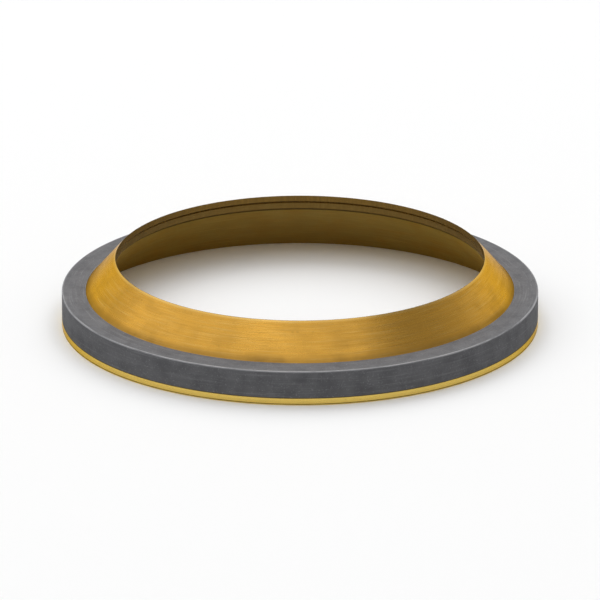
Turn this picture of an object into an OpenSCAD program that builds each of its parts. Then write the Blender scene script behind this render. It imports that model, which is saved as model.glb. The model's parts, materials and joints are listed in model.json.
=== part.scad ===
// Wiper seal for a hydraulic cylinder's rod: two thin conical scraper blades, nested one in
// the other, under a solid retainer ring of triangular section that fills the gland's groove.
// Millimetres. Z is the seal's axis, the lips point up, and z = 0 is the plane it rests on.

/* [Rod and groove] */
// Diameter of the rod that the upper blade's lip wipes
rod_d = 38.1; // [36:0.1:41]
// Diameter of the groove that the seal's outside fills
groove_d = 49.2; // [47:0.1:53]

/* [Retainer ring] */
// Height of the retainer ring's flat top above the plane that the seal rests on
ring_h = 3.65; // [2.6:0.05:5]
// Radius of the retainer ring's two top edges
edge_r = 0.1; // [0.02:0.01:0.3]

/* [Blades] */
// Slope of both blades, from the horizontal
blade_angle = 49; // [40:0.5:58]
// Thickness of the sheet that each blade is pressed from
sheet_t = 0.41; // [0.25:0.01:0.6]
// Width of the flat under the blades' trimmed rims, which the seal rests on
foot_w = 0.43; // [0.2:0.01:0.9]
// Distance that the lower blade's lip stands back from the rod
lip_back = 0.2; // [0:0.01:0.6]

/* [Hidden] */

steel_colour = [0.47, 0.47, 0.48];
brass_colour = [0.8, 0.6, 0.23];

outer_r = groove_d / 2;
lip_r = rod_d / 2;
slope = tan(blade_angle);
// Height that one thickness of sheet takes up along a vertical line
sheet_h = sheet_t / cos(blade_angle);
// How far a blade's outline runs past the outer wall before it is trimmed to it
spare = 1;
// Steps in each rounded edge, and sides of each turned surface on screen
arc_steps = 6;
$fn = 180;

// The nested sheets lie between cones: cone 0 is under the lower blade, cone 1 is
// between the blades, and cone 2 is where the retainer ring sits on the upper blade.
function cone_z(cone, r) = cone * sheet_h + (outer_r - foot_w - r) * slope;
function cone_r(cone, z) = outer_r - foot_w - (z - cone * sheet_h) / slope;

// Points round an edge, from one angle to another
function edge(centre, from, to) = [
    for (i = [0 : arc_steps])
        let (a = from + (to - from) * i / arc_steps)
        centre + edge_r * [cos(a), sin(a)]
];

// Outline of a blade, cut off by the outer wall and by the plane that the seal rests on
module blade_outline(cone, inner_r) {
    end_r = outer_r + spare;
    intersection() {
        polygon([
            [inner_r, cone_z(cone, inner_r)],
            [end_r, cone_z(cone, end_r)],
            [end_r, cone_z(cone + 1, end_r)],
            [inner_r, cone_z(cone + 1, inner_r)]
        ]);
        square([outer_r, cone_z(cone + 1, inner_r)]);
    }
}

// Triangular section of the retainer ring: a plain wall, a flat top and a seat on cone 2
module ring_outline() {
    // The inner top edge is rounded from the flat top down to the seat
    inner_centre_z = ring_h - edge_r;
    inner_centre_r = cone_r(2, inner_centre_z) + edge_r / sin(blade_angle);
    polygon(concat(
        [[outer_r, cone_z(2, outer_r)]],
        edge([outer_r - edge_r, ring_h - edge_r], 0, 90),
        edge([inner_centre_r, inner_centre_z], 90, 270 - blade_angle)
    ));
}

module retainer_ring() {
    color(steel_colour) rotate_extrude() ring_outline();
}

module upper_blade() {
    color(brass_colour) rotate_extrude() blade_outline(1, lip_r);
}

module lower_blade() {
    color(brass_colour) rotate_extrude() blade_outline(0, lip_r + lip_back);
}

retainer_ring();
upper_blade();
lower_blade();
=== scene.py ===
# Rod wiper seal: two nested conical brass blades under a grey steel retainer ring, on a pale floor
import json
import math
import bpy
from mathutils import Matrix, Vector


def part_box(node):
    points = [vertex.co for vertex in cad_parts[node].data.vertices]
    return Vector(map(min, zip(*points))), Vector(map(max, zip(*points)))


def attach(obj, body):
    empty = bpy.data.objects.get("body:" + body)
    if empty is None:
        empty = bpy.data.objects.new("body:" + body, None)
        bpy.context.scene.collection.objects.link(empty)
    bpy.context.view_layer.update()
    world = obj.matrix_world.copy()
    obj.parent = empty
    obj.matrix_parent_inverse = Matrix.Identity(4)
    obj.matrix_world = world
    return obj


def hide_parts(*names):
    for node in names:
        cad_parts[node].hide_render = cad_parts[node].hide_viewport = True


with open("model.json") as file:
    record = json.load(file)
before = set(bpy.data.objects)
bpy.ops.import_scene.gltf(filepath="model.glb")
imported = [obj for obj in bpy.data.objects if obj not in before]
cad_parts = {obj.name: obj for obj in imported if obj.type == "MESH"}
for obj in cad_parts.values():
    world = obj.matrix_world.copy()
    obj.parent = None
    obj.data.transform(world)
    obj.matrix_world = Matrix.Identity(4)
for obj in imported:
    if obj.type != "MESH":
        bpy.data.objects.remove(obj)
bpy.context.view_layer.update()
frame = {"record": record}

mm = 0.001


# Sizes of the seal's section, in metres, worked out from the frame

def mountSize(name, key):
    mount = next(m for m in frame["record"]["mounts"] if m["name"] == name)
    return mount["dims"][key] * mm


ringLow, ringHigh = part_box("retainer_ring")
upperLow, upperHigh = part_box("upper_blade")
lowerLow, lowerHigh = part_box("lower_blade")
outerR = mountSize("housing_fit", "r_mm")
lipR = mountSize("rod_bore", "r_mm")
# The ring's seat is a cone that runs from its own lower edge to the upper blade's lip
slope = (upperHigh.z - ringLow.z) / (outerR - lipR)
sheetHeight = ringLow.z - upperLow.z          # of one sheet, along an upright line
ringEdge = ringHigh.z - mountSize("housing_fit", "length_mm")


# Cone 0 is under the lower blade, cone 1 between the blades and cone 2 under the ring

def coneHeight(cone, radius):
    return upperLow.z + (cone - 1) * sheetHeight + (outerR - radius) * slope


def coneRadius(cone, height):
    return outerR - (height - coneHeight(cone, outerR)) / slope


backR = coneRadius(1, lowerHigh.z)            # the lower blade's lip
ringInnerR = coneRadius(2, ringHigh.z)        # where the ring's flat top would meet its seat


# Modelling steps that the pieces share

turning = {
    "segments": 320,              # flats round each ring
    "bevelSteps": 4,
    "closeTo": 0.004 * mm,        # how near to a circle its vertices lie
    "mergeWithin": 0.001 * mm,
}


def nothingSelected():
    if bpy.context.mode != "OBJECT":
        bpy.ops.object.mode_set(mode="OBJECT")
    bpy.ops.object.select_all(action="DESELECT")


def onCircle(point, radius, height):
    near = turning["closeTo"]
    return abs(math.hypot(point.x, point.y) - radius) < near and abs(point.z - height) < near


def pickCircles(piece, circles):
    # leaves only the vertices on these (radius, height) circles selected, in edit mode
    bpy.ops.mesh.select_all(action="DESELECT")
    bpy.ops.object.mode_set(mode="OBJECT")
    for vertex in piece.data.vertices:
        vertex.select = any(onCircle(vertex.co, *circle) for circle in circles)
    bpy.ops.object.mode_set(mode="EDIT")


def turnedRing(name, section):
    # The first wall is a cone primitive, and its rim is then drawn out round the rest of the section
    nothingSelected()
    (firstR, firstZ), (nextR, nextZ) = section[:2]
    bpy.ops.mesh.primitive_cone_add(
        vertices=turning["segments"],
        radius1=firstR,
        radius2=nextR,
        depth=nextZ - firstZ,
        end_fill_type="NOTHING",
        location=(0, 0, (firstZ + nextZ) / 2),
    )
    piece = bpy.context.object
    piece.name = name
    bpy.ops.object.transform_apply(location=True, rotation=True, scale=True)
    bpy.ops.object.mode_set(mode="EDIT")
    bpy.ops.mesh.select_mode(type="VERT")
    for (fromR, fromZ), (toR, toZ) in zip(section[1:], section[2:]):
        pickCircles(piece, [(fromR, fromZ)])
        bpy.ops.mesh.extrude_region_move(TRANSFORM_OT_translate={"value": (0, 0, toZ - fromZ)})
        grow = toR / fromR
        bpy.ops.transform.resize(value=(grow, grow, 1), center_override=(0, 0, 0))
    pickCircles(piece, [section[0], section[-1]])
    bpy.ops.mesh.bridge_edge_loops()
    bpy.ops.mesh.select_all(action="SELECT")
    bpy.ops.mesh.remove_doubles(threshold=turning["mergeWithin"])
    bpy.ops.mesh.normals_make_consistent(inside=False)
    bpy.ops.object.mode_set(mode="OBJECT")
    return piece


def breakEdges(piece, widths):
    # Small rounds on the section's corners, which catch the light as real edges do.
    # widths gives one for each (radius, height) circle
    widest = max(widths.values())
    weights = piece.data.attributes.new("bevel_weight_edge", "FLOAT", "EDGE")
    for edge in piece.data.edges:
        ends = [piece.data.vertices[v].co for v in edge.vertices]
        for circle, width in widths.items():
            if all(onCircle(end, *circle) for end in ends):
                weights.data[edge.index].value = width / widest
    bevel = piece.modifiers.new("broken edges", "BEVEL")
    bevel.width = widest
    bevel.segments = turning["bevelSteps"]
    bevel.limit_method = "WEIGHT"
    bevel.harden_normals = True
    nothingSelected()
    piece.select_set(True)
    bpy.context.view_layer.objects.active = piece
    bpy.ops.object.shade_smooth()
    bpy.ops.object.modifier_apply(modifier=bevel.name)


def settle(piece, material, node):
    piece.data.materials.clear()
    piece.data.materials.append(material)
    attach(piece, "root")
    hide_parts(node)
    print(piece.name, "made,", len(piece.data.polygons), "faces")


# Shader wiring: Python's own operators on a Wire add Math nodes to its tree

noiseMiddle = 0.5
streak = {"scale": 1, "detail": 3, "roughness": 0.6}      # of the marks that run round the seal


class Wire:
    def __init__(self, nodes, socket):
        self.nodes = nodes
        self.socket = socket

    def output(self, name):
        # another output of the node that this one comes from
        return Wire(self.nodes, self.socket.node.outputs[name])

    def maths(self, operation, *others):
        values = dict(enumerate((self, *others)))
        return self.nodes.node("ShaderNodeMath", {"operation": operation}, values)

    def __add__(self, other):
        return self.maths("ADD", other)

    def __sub__(self, other):
        return self.maths("SUBTRACT", other)

    def __rsub__(self, other):
        return self.maths("MULTIPLY", -1).maths("ADD", other)

    def __mul__(self, other):
        return self.maths("MULTIPLY", other)

    def __truediv__(self, other):
        return self.maths("DIVIDE", other)

    def __pow__(self, other):
        return self.maths("POWER", other)

    __radd__ = __add__
    __rmul__ = __mul__

    def larger(self, other):
        return self.maths("MAXIMUM", other)

    def ramp(self, low, high, most=1):
        # 0 up to low, then rising smoothly to its most at high
        return self.nodes.node(
            "ShaderNodeMapRange",
            {"interpolation_type": "SMOOTHSTEP"},
            {"Value": self, "From Min": low, "From Max": high, "To Max": most},
        )

    def near(self, middle, full, none):
        # 1 where the value is within full of the middle, fading to 0 at none
        return 1 - (self - middle).maths("ABSOLUTE").ramp(full, none)

    def between(self, atZero, atOne):
        return self * (atOne - atZero) + atZero

    def swing(self, amount):
        # up and down from a noise pattern's middle
        return (self - noiseMiddle) * amount


class Nodes:
    def __init__(self, tree):
        self.tree = tree

    def feed(self, socket, value):
        if isinstance(value, Wire):
            self.tree.links.new(value.socket, socket)
        else:
            socket.default_value = value

    def node(self, kind, settings, sockets):
        made = self.tree.nodes.new(kind)
        for key, value in settings.items():
            setattr(made, key, value)
        for key, value in sockets.items():
            self.feed(made.inputs[key], value)
        return Wire(self, made.outputs[0])

    def blend(self, share, first, second):
        # a Mix node has its colours on inputs 6 and 7 and on output 2
        sockets = {0: share, 6: first, 7: second}
        return self.node("ShaderNodeMix", {"data_type": "RGBA"}, sockets).output(2)

    def seen(self):
        # 1 for what the camera sees, straight or in metal or glass
        ray = self.node("ShaderNodeLightPath", {}, {})
        straight = ray.output("Is Camera Ray")
        return straight.larger(ray.output("Is Glossy Ray")).larger(ray.output("Is Transmission Ray"))


class Finish(Nodes):
    # A material, and where each of its points is on the seal, in millimetres
    def __init__(self, name):
        self.material = bpy.data.materials.new(name)
        self.material.use_nodes = True
        super().__init__(self.material.node_tree)
        here = self.node("ShaderNodeTexCoord", {}, {}).output("Object")
        self.spot = self.node("ShaderNodeVectorMath", {"operation": "SCALE"}, {0: here, "Scale": 1 / mm})
        split = self.node("ShaderNodeSeparateXYZ", {}, {0: self.spot})
        x, y, self.height = [split.output(axis) for axis in "XYZ"]
        self.radius = (x * x + y * y) ** 0.5
        self.wayX = x / self.radius
        self.wayY = y / self.radius
        self.climb = self.height - self.radius       # grows up every wall and in over every flat

    def surface(self, sockets):
        shader = self.tree.nodes["Principled BSDF"]
        for key, value in sockets.items():
            self.feed(shader.inputs[key], value)

    def noise(self, spot, scale, detail, roughness):
        sockets = {"Vector": spot, "Scale": scale, "Detail": detail, "Roughness": roughness}
        return self.node("ShaderNodeTexNoise", {"noise_dimensions": "3D"}, sockets)

    def patches(self, size, detail, roughness):
        return self.noise(self.spot, 1 / size, detail, roughness)

    def streaks(self, climb, width, often):
        # marks that run round the seal, this wide, with about 6 * often of them in a full turn
        spot = {0: self.wayX * often, 1: self.wayY * often, 2: climb / width}
        return self.noise(self.node("ShaderNodeCombineXYZ", {}, spot), **streak)

    def fromCorner(self, radius, height):
        # distance from a corner of the section
        out = self.radius - radius / mm
        up = self.height - height / mm
        return (out * out + up * up) ** 0.5

    def overCone(self, cone):
        # upright distance above one of the section's cones
        return self.height + self.radius * slope - coneHeight(cone, 0) / mm

    def bump(self, height):
        return self.node("ShaderNodeBump", {}, {"Height": height, "Distance": mm})


# Retainer ring, turned steel with a dull grey phosphated coat

ring = {
    "lowerEdge": 0.03 * mm,                # the top edges have the radius that the frame gives
    # Colours
    "coat": (0.180, 0.181, 0.189, 1),
    "dark": (0.085, 0.086, 0.092, 1),
    "bare": (0.46, 0.46, 0.47, 1),         # steel that shows through
    "creaseShade": (0.03, 0.028, 0.026, 1),      # painted shade in the seam above the brass
    # Patches as size, detail and roughness, and marks round the ring as width and how often
    "patches": (1.8, 5, 0.6),
    "grain": (0.16, 2, 0.5),
    "lines": (0.20, 4),
    "bands": (0.70, 2),
    # Where each pattern starts to show, where it shows most, and that most
    "patchMask": (0.35, 0.78, 0.50),
    "grainMask": (0.56, 0.76, 0.30),
    "lineMask": (0.50, 0.80, 0.22),
    "bandMask": (0.50, 0.80, 0.35),
    # Wear along the two top edges, and painted shade in the seam: full up to here, gone from here
    "outerWear": (0.05, 0.20),
    "innerWear": (0.03, 0.13),
    "seam": (0.015, 0.08),
    # Patches and lines that break up the wear, and how much wear and painted shade show at most
    "wearPatches": 0.55,
    "wearLines": 0.75,
    "wearMask": (0.42, 0.72),
    "wearShare": 0.62,
    "seamShare": 0.85,
    # Surface
    "gloss": 0.01,
    "metal": 0.03,
    "wornMetal": 0.70,
    "roughness": 0.55,
    "lineRough": 0.25,
    "grainRough": 0.15,
    "wornRough": -0.12,
    "lineDepth": 0.010,                    # mm
    "grainDepth": 0.004,
}


def steelFinish():
    steel = Finish("phosphated steel")
    patches = steel.patches(*ring["patches"])
    grain = steel.patches(*ring["grain"])
    lines = steel.streaks(steel.climb, *ring["lines"])
    bands = steel.streaks(steel.climb, *ring["bands"])
    outer = 1 - steel.fromCorner(outerR, ringHigh.z).ramp(*ring["outerWear"])
    inner = 1 - steel.fromCorner(ringInnerR, ringHigh.z).ramp(*ring["innerWear"])
    uneven = (patches * ring["wearPatches"] + lines * ring["wearLines"]).ramp(*ring["wearMask"])
    wear = outer.larger(inner) * uneven
    seam = steel.height.near(ringLow.z / mm, *ring["seam"])

    colour = steel.blend(patches.ramp(*ring["patchMask"]), ring["coat"], ring["dark"])
    colour = steel.blend(grain.ramp(*ring["grainMask"]), colour, ring["bare"])
    colour = steel.blend(lines.ramp(*ring["lineMask"]), colour, ring["bare"])
    colour = steel.blend(bands.ramp(*ring["bandMask"]), colour, ring["dark"])
    colour = steel.blend(wear * ring["wearShare"], colour, ring["bare"])
    # painted shade: the ring darkened along its seam with the brass
    colour = steel.blend(seam * ring["seamShare"], colour, ring["creaseShade"])
    rough = ring["roughness"] + lines.swing(ring["lineRough"]) + grain.swing(ring["grainRough"])
    steel.surface({
        "Base Color": colour,
        "Metallic": ring["metal"] + wear * ring["wornMetal"],
        "Specular IOR Level": ring["gloss"],
        "Roughness": rough + wear * ring["wornRough"],
        "Normal": steel.bump(lines * ring["lineDepth"] + grain * ring["grainDepth"]),
    })
    return steel.material


def retainerRing():
    lower = (outerR, ringLow.z)
    outerTop = (outerR, ringHigh.z)
    innerTop = (ringInnerR, ringHigh.z)
    piece = turnedRing("retainerRing", [lower, outerTop, innerTop])
    breakEdges(piece, {lower: ring["lowerEdge"], outerTop: ringEdge, innerTop: ringEdge})
    settle(piece, steelFinish(), "retainer_ring")


# Blades, pressed from rolled brass sheet

brass = {
    "edge": 0.03 * mm,
    # Colours, apart from each blade's own
    "tarnish": (0.41, 0.222, 0.041, 1),
    "brightWearAndHighlight": (0.86, 0.62, 0.23, 1),       # scratches, and the corner of each lip, which is worn and carries a painted highlight
    "polishAndHighlight": (0.90, 0.675, 0.17, 1),    # the rims, rubbed bright in the groove, with a painted highlight on them
    "cut": (0.175, 0.103, 0.025, 1),       # painted shade on the bores that the sheets were cut to
    "creaseShade": (0.16, 0.095, 0.030, 1),      # painted shade in the corner beside the retainer ring
    "seamShade": (0.055, 0.036, 0.016, 1),      # painted shade in the seams and under the bores
    "edgeTint": (0.78, 0.64, 0.36, 1),     # of what the brass reflects at a glancing angle
    # Patches as size, detail and roughness, and marks round the seal as width and how often
    "patches": (2.6, 4, 0.55),
    "specks": (0.5, 2, 0.55),
    "lines": (0.30, 3.5),
    "bands": (0.90, 2.5),
    "scratches": (0.07, 5),
    "rubbing": (2.0, 90),                  # so many that they stand upright, as the rod leaves them
    # Where each pattern starts to show, where it shows most, and that most
    "patchMask": (0.38, 0.72, 0.30),
    "bandMask": (0.42, 0.75, 0.24),
    "speckMask": (0.66, 0.74, 0.30),
    "lineMask": (0.50, 0.75, 0.30),
    "scratchMask": (0.50, 0.75, 0.40),
    # Places on the section: full up to here, gone from here
    "bore": (0.015, 0.035),
    "rim": (0.01, 0.05),
    "lip": (0.02, 0.30),
    "corner": (0.04, 0.75),
    "seam": (0.015, 0.07),
    "seamReach": (0.05, 0.30),
    "underBore": (0.12, 0.09, 0.16),       # first how far below the bore its middle lies
    "underReach": (0.10, 0.40),
    "underside": (0.30, 0.50),
    # How much of each colour shows there, where a pattern is weakest and strongest
    "lipShare": (0.33, 0.69),
    "rimShare": (0.55, 0.95),
    "cutShare": (0.75, 1.15),
    "creaseShadeShare": (0.28, 0.68),
    "seamShadeShare": 0.85,
    # Surface
    "brushed": 0.35,                       # how much the fine lines stretch a highlight
    "oxide": 0.60,                         # how far the bores have lost their metal look
    "oxideGloss": 0.15,                    # and how much they still shine
    "roughness": 0.27,
    "lineRough": 0.22,
    "patchRough": 0.16,
    "boreRough": (0.04, -0.16),
    "lipRough": -0.06,
    "cornerRough": 0.12,
    "undersideRough": 0.14,
    "lineDepth": 0.006,                    # mm
    "scratchDepth": 0.004,
    "rubDepth": 0.005,
}


def brassFinish(name, ownColour, boreRadius, lipHeight, seamHeights):
    sheet = Finish(name)
    bore = boreRadius / mm
    lip = lipHeight / mm
    ringTop = ringHigh.z / mm
    patches = sheet.patches(*brass["patches"])
    specks = sheet.patches(*brass["specks"])
    lines = sheet.streaks(sheet.climb, *brass["lines"])
    bands = sheet.streaks(sheet.climb, *brass["bands"])
    scratches = sheet.streaks(sheet.climb, *brass["scratches"])
    rubbed = sheet.streaks(sheet.height, *brass["rubbing"])

    # Where the wear, the painted highlights and the painted shade lie
    inBore = sheet.radius.near(bore, *brass["bore"])
    inwards = outerR / mm - sheet.radius
    onRim = 1 - inwards.ramp(*brass["rim"])
    onLip = (1 - (lip - sheet.height).ramp(*brass["lip"])) * (1 - inBore)
    underside = 1 - sheet.overCone(0).ramp(*brass["underside"])
    inCorner = (1 - (sheet.height - ringTop).ramp(*brass["corner"])) * (1 - onRim) * (1 - underside)
    middle, full, none = brass["underBore"]
    underBore = sheet.height.near(lip - sheetHeight / mm - middle, full, none)
    underBore = underBore * (1 - (sheet.radius - bore).ramp(*brass["underReach"]))
    inSeam = sum(sheet.height.near(height / mm, *brass["seam"]) for height in seamHeights)
    inSeam = inSeam * (1 - inwards.ramp(*brass["seamReach"]))

    dull = patches.ramp(*brass["patchMask"]) + bands.ramp(*brass["bandMask"])
    dull = (dull + specks.ramp(*brass["speckMask"])) * (1 - onLip)
    colour = sheet.blend(dull, ownColour, brass["tarnish"])
    colour = sheet.blend(lines.ramp(*brass["lineMask"]), colour, brass["tarnish"])
    colour = sheet.blend(scratches.ramp(*brass["scratchMask"]), colour, brass["brightWearAndHighlight"])
    # wear and painted highlight: lighter brass along the top of each lip
    colour = sheet.blend(onLip * lines.between(*brass["lipShare"]), colour, brass["brightWearAndHighlight"])
    # wear and painted highlight: the rims made lighter and yellower
    colour = sheet.blend(onRim * lines.between(*brass["rimShare"]), colour, brass["polishAndHighlight"])
    # painted shade: the bores darkened all round
    colour = sheet.blend(inBore * rubbed.between(*brass["cutShare"]), colour, brass["cut"])
    # painted shade: the brass darkened in its corner beside the retainer ring
    colour = sheet.blend(inCorner * patches.between(*brass["creaseShadeShare"]), colour, brass["creaseShade"])
    # painted shade: dark lines along the seams at the rim and in the recess under each bore
    colour = sheet.blend(inSeam.larger(underBore) * brass["seamShadeShare"], colour, brass["seamShade"])

    rough = brass["roughness"] + lines.swing(brass["lineRough"]) + patches.swing(brass["patchRough"])
    rough = rough + inBore * rubbed.between(*brass["boreRough"]) + onLip * brass["lipRough"]
    rough = rough + inCorner * brass["cornerRough"] + underside * (1 - inBore) * brass["undersideRough"]
    relief = lines * brass["lineDepth"] + scratches * brass["scratchDepth"]
    sheet.surface({
        "Base Color": colour,
        "Metallic": 1 - inBore * brass["oxide"],
        "Specular IOR Level": brass["oxideGloss"],
        "Specular Tint": brass["edgeTint"],
        "Anisotropic": brass["brushed"],
        "Roughness": rough,
        "Normal": sheet.bump(relief + rubbed * inBore * brass["rubDepth"]),
    })
    return sheet.material


upper = {"colour": (0.69, 0.368, 0.059, 1)}


def upperBlade():
    section = [
        (outerR, upperLow.z),
        (lipR, coneHeight(1, lipR)),
        (lipR, upperHigh.z),
        (outerR, ringLow.z),
    ]
    piece = turnedRing("upperBlade", section)
    breakEdges(piece, dict.fromkeys(section, brass["edge"]))
    seams = [ringLow.z, upperLow.z]
    material = brassFinish("upper blade brass", upper["colour"], lipR, upperHigh.z, seams)
    settle(piece, material, "upper_blade")


lower = {"colour": (0.42, 0.305, 0.095, 1)}    # darker than the upper blade's brass: painted shade, for the lower blade's inner face, which lies in shadow


def lowerBlade():
    section = [
        (coneRadius(0, lowerLow.z), lowerLow.z),
        (backR, coneHeight(0, backR)),
        (backR, lowerHigh.z),
        (outerR, upperLow.z),
        (outerR, lowerLow.z),
    ]
    piece = turnedRing("lowerBlade", section)
    breakEdges(piece, dict.fromkeys(section, brass["edge"]))
    seams = [upperLow.z]
    material = brassFinish("lower blade brass", lower["colour"], backR, lowerHigh.z, seams)
    settle(piece, material, "lower_blade")


retainerRing()
upperBlade()
lowerBlade()


# Studio

studio = {
    "floorRadius": 6.0,
    "floorSides": 64,
    "floorColour": (0.965, 0.965, 0.965, 1),   # as the camera and the metal see it
    "floorBounce": (0.50, 0.50, 0.50, 1),      # as it lights the pieces
    "floorRoughness": 0.9,
    "floorGloss": 0.1,
    "skyColour": (1, 1, 1, 1),
    "skyLow": 8,                  # degrees; white up to here
    "skyHigh": 45,                # and at skyLevel from here
    "skyLevel": 0.30,
    "skyAmbient": 0.38,           # as it lights the pieces
    "lampDistance": 2.0,
}

# Azimuth 0 is to the right, 90 away from the camera and 180 to the left. A lamp of level 1
# lights a surface that faces it to the colour that the surface is written in.
lamps = {
    "backTop": {"azimuth": 80, "elevation": 58, "size": 2.2, "level": 0.62},
    "leftPanel": {"azimuth": 178, "elevation": 56, "size": 2.2, "level": 0.26},
    "frontTop": {"azimuth": 285, "elevation": 68, "size": 1.8, "level": 0.16},
}


def floor():
    nothingSelected()
    bpy.ops.mesh.primitive_circle_add(
        vertices=studio["floorSides"],
        radius=studio["floorRadius"],
        fill_type="NGON",
    )
    piece = bpy.context.object
    piece.name = "floor"
    pale = Finish("pale floor")
    pale.surface({
        "Base Color": pale.blend(pale.seen(), studio["floorBounce"], studio["floorColour"]),
        "Roughness": studio["floorRoughness"],
        "Specular IOR Level": studio["floorGloss"],
    })
    piece.data.materials.append(pale.material)


def direction(azimuth, elevation):
    side = math.radians(azimuth)
    up = math.radians(elevation)
    return Vector((math.cos(side) * math.cos(up), math.sin(side) * math.cos(up), math.sin(up)))


def lamp(name, azimuth, elevation, size, level):
    nothingSelected()
    towards = direction(azimuth, elevation)
    distance = studio["lampDistance"]
    bpy.ops.object.light_add(type="AREA", location=towards * distance)
    made = bpy.context.object
    made.name = name
    made.data.shape = "SQUARE"
    made.data.size = size
    made.data.energy = level * math.pi ** 2 * distance ** 2
    made.rotation_euler = towards.to_track_quat("Z", "Y").to_euler()
    made.visible_camera = False


def sky():
    # white at the horizon, where the camera may see it, and dimmer overhead
    world = bpy.data.worlds.new("studio")
    bpy.context.scene.world = world
    world.use_nodes = True
    air = Nodes(world.node_tree)
    towards = air.node("ShaderNodeTexCoord", {}, {}).output("Generated")
    rise = air.node("ShaderNodeSeparateXYZ", {}, {0: towards}).output("Z")
    low = math.sin(math.radians(studio["skyLow"]))
    high = math.sin(math.radians(studio["skyHigh"]))
    backdrop = 1 - rise.ramp(low, high, 1 - studio["skyLevel"])
    ambient = studio["skyAmbient"]
    background = world.node_tree.nodes["Background"]
    air.feed(background.inputs["Color"], studio["skyColour"])
    air.feed(background.inputs["Strength"], ambient + air.seen() * (backdrop - ambient))


floor()
for name, settings in lamps.items():
    lamp(name, **settings)
sky()
print("studio lit by", len(lamps), "lamps")


# Camera

camera = {
    "azimuth": 270,
    "elevation": 20,
    "lens": 600,                  # mm, long enough to look almost parallel
    "sensor": 36,
    "frameWidth": 62 * mm,        # of the picture, at the seal
    "aim": (0, 0, 2.4 * mm),
    "sight": 20,                  # metres, past which it sees nothing
}


def addCamera():
    nothingSelected()
    back = direction(camera["azimuth"], camera["elevation"])
    distance = camera["frameWidth"] / camera["sensor"] * camera["lens"]
    bpy.ops.object.camera_add(location=Vector(camera["aim"]) + back * distance)
    made = bpy.context.object
    made.rotation_euler = back.to_track_quat("Z", "Y").to_euler()
    made.data.lens = camera["lens"]
    made.data.sensor_width = camera["sensor"]
    made.data.clip_end = camera["sight"]
    bpy.context.scene.camera = made
    print("camera", round(distance, 2), "m away")


addCamera()
bpy.context.scene.view_settings.view_transform = "Standard"

nothingSelected()
